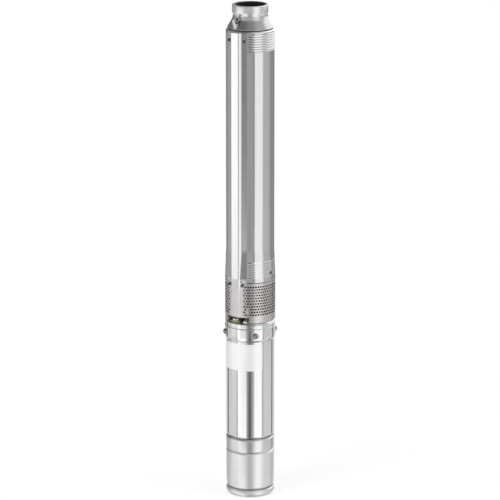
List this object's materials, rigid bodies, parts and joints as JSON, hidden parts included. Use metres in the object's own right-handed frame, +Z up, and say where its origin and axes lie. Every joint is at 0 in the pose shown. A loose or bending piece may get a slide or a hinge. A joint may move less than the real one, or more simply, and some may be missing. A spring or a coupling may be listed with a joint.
{
  "type": "borehole submersible pump",
  "caption": "Slim stainless borehole pump: multistage pump end with strainer and cable guard on a canned motor, for lifting water from a narrow well.",
  "frame": {"origin": "centre of the motor's flat foot, on the shaft axis", "axes": "+Z up the shaft to the outlet; the cable guard faces -Y; +X completes a right-handed frame"},
  "size_m": [0.1, 0.1022, 0.98],
  "materials": {
    "polished_shell": "polished stainless tube",
    "sheet_guard": "folded stainless sheet, mill finish",
    "cast_head": "cast and machined stainless",
    "strainer_steel": "perforated stainless sheet",
    "motor_steel": "polished stainless tube",
    "cup_steel": "brushed stainless cup",
    "cast_lantern": "cast stainless, blasted",
    "fasteners": "turned stainless",
    "brass_fittings": "machined brass",
    "shaft_steel": "ground stainless",
    "plastic_stages": "moulded engineering plastic",
    "valve_plastic": "moulded engineering plastic",
    "bearing_rubber": "moulded nitrile rubber",
    "wear_steel": "turned stainless",
    "cast_housings": "machined cast iron",
    "carbon_bearings": "carbon graphite",
    "core_steel": "stacked electrical steel",
    "copper_parts": "enamelled copper wire in resin",
    "rotor_alloy": "cast end rings"
  },
  "bodies": {
    "pump": {"discharge_head": "cast_head", "valve_seat": "valve_plastic", "valve_cage": "valve_plastic", "valve_spring": "fasteners", "pump_shell": "polished_shell", "cable_guard": "sheet_guard", "guard_screws": "fasteners", "lock_screws": "fasteners", "top_bearing_bracket": "wear_steel", "top_bearing_bush": "bearing_rubber", "stage_bearings": "bearing_rubber", "neck_rings": "wear_steel", "intake_lantern": "cast_lantern", "strainer": "strainer_steel", "flange_studs": "fasteners", "flange_nuts": "fasteners", "lead_socket": "brass_fittings", "lead_jam_nut": "brass_fittings", "motor_top_cover": "motor_steel", "upper_bearing_housing": "cast_housings", "upper_journal_bearing": "carbon_bearings", "shaft_seal": "bearing_rubber", "filling_plug": "fasteners", "motor_shell": "motor_steel", "stator_core": "core_steel", "upper_winding": "copper_parts", "lower_winding": "copper_parts", "lower_bearing_housing": "cast_housings", "lower_journal_bearing": "carbon_bearings", "thrust_pads": "carbon_bearings", "pad_carrier": "shaft_steel", "diaphragm": "bearing_rubber", "diaphragm_clamp": "shaft_steel", "bottom_cover": "cup_steel", "stage_bowl_1": "plastic_stages", "stage_bowl_2": "plastic_stages", "stage_bowl_3": "plastic_stages", "stage_bowl_4": "plastic_stages", "stage_bowl_5": "plastic_stages", "stage_bowl_6": "plastic_stages"},
    "rotor": {"pump_shaft": "shaft_steel", "coupling": "shaft_steel", "impeller_1": "plastic_stages", "impeller_2": "plastic_stages", "impeller_3": "plastic_stages", "impeller_4": "plastic_stages", "impeller_5": "plastic_stages", "impeller_6": "plastic_stages", "top_sleeve": "shaft_steel", "shaft_nut": "fasteners", "motor_shaft": "shaft_steel", "rotor_core": "core_steel", "rotor_end_rings": "rotor_alloy", "thrust_disc": "shaft_steel", "sand_slinger": "bearing_rubber"},
    "poppet": {"valve_poppet": "plastic_stages", "valve_seal": "bearing_rubber"}
  },
  "joints": [
    {"name": "rotor_spin", "type": "hinge", "parent": "pump", "child": "rotor", "pos_m": [0, 0, 0], "axis": [0, 0, 1], "continuous": true},
    {"name": "valve_lift", "type": "slide", "parent": "pump", "child": "poppet", "axis": [0, 0, 1], "range_m": [0, 0.011], "stiffness_N_per_m": 300, "springref_m": -0.01, "deforming": ["valve_spring"]}
  ]
}
